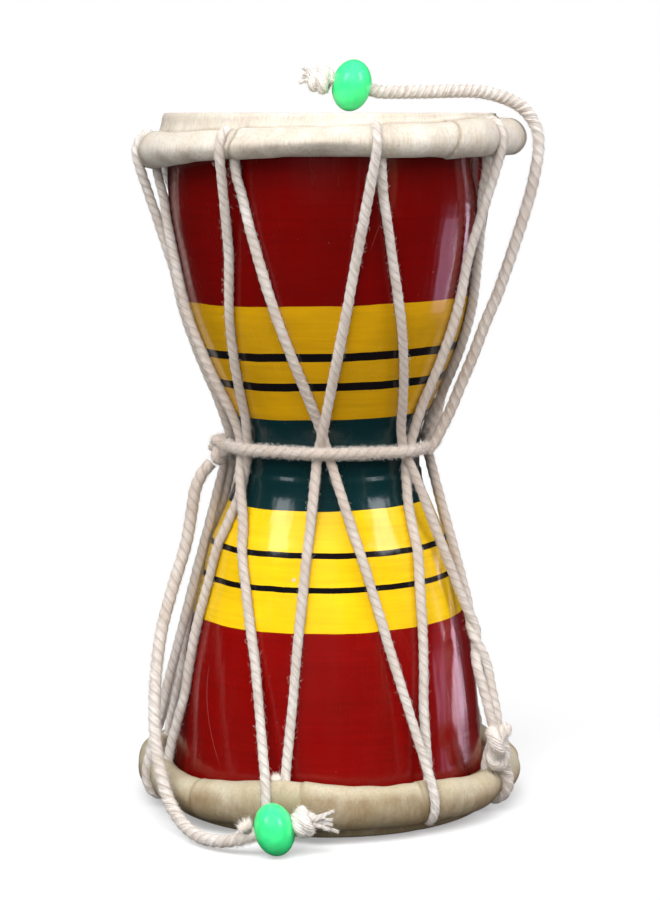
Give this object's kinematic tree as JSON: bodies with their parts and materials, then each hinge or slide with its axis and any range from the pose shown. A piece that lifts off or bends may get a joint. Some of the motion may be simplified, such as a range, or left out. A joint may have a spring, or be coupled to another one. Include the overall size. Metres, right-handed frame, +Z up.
{
  "type": "damaru drum",
  "caption": "Small hourglass hand drum: lacquered wooden body, rawhide heads lapped round hoops, zigzag cotton lacing drawn in at the waist, and bead strikers on cords.",
  "frame": {"origin": "centre of the outer face of the base skin, which the drum stands on", "axes": "+Z up along the drum's own axis, -Y towards the side where the lower bead lies, +X to the right seen from there"},
  "size_m": [0.1051, 0.1146, 0.19],
  "materials": {
    "lacquered_wood": "gloss lacquer in red, yellow and dark green bands with thin black lines",
    "rawhide": "dry matt hide with brownish creases",
    "cotton_cord": "twisted off-white cotton, slightly fuzzy",
    "green_bead": "glossy spring green"
  },
  "bodies": {
    "root": {"drum_body": "lacquered_wood", "top_head": "rawhide", "base_head": "rawhide", "lacing_cord": "cotton_cord", "waist_belt": "cotton_cord", "upper_striker_cord": "cotton_cord", "upper_striker_bead": "green_bead", "upper_striker_knot": "cotton_cord", "base_striker_cord": "cotton_cord", "base_striker_bead": "green_bead", "base_striker_knot": "cotton_cord"}
  },
  "joints": []
}
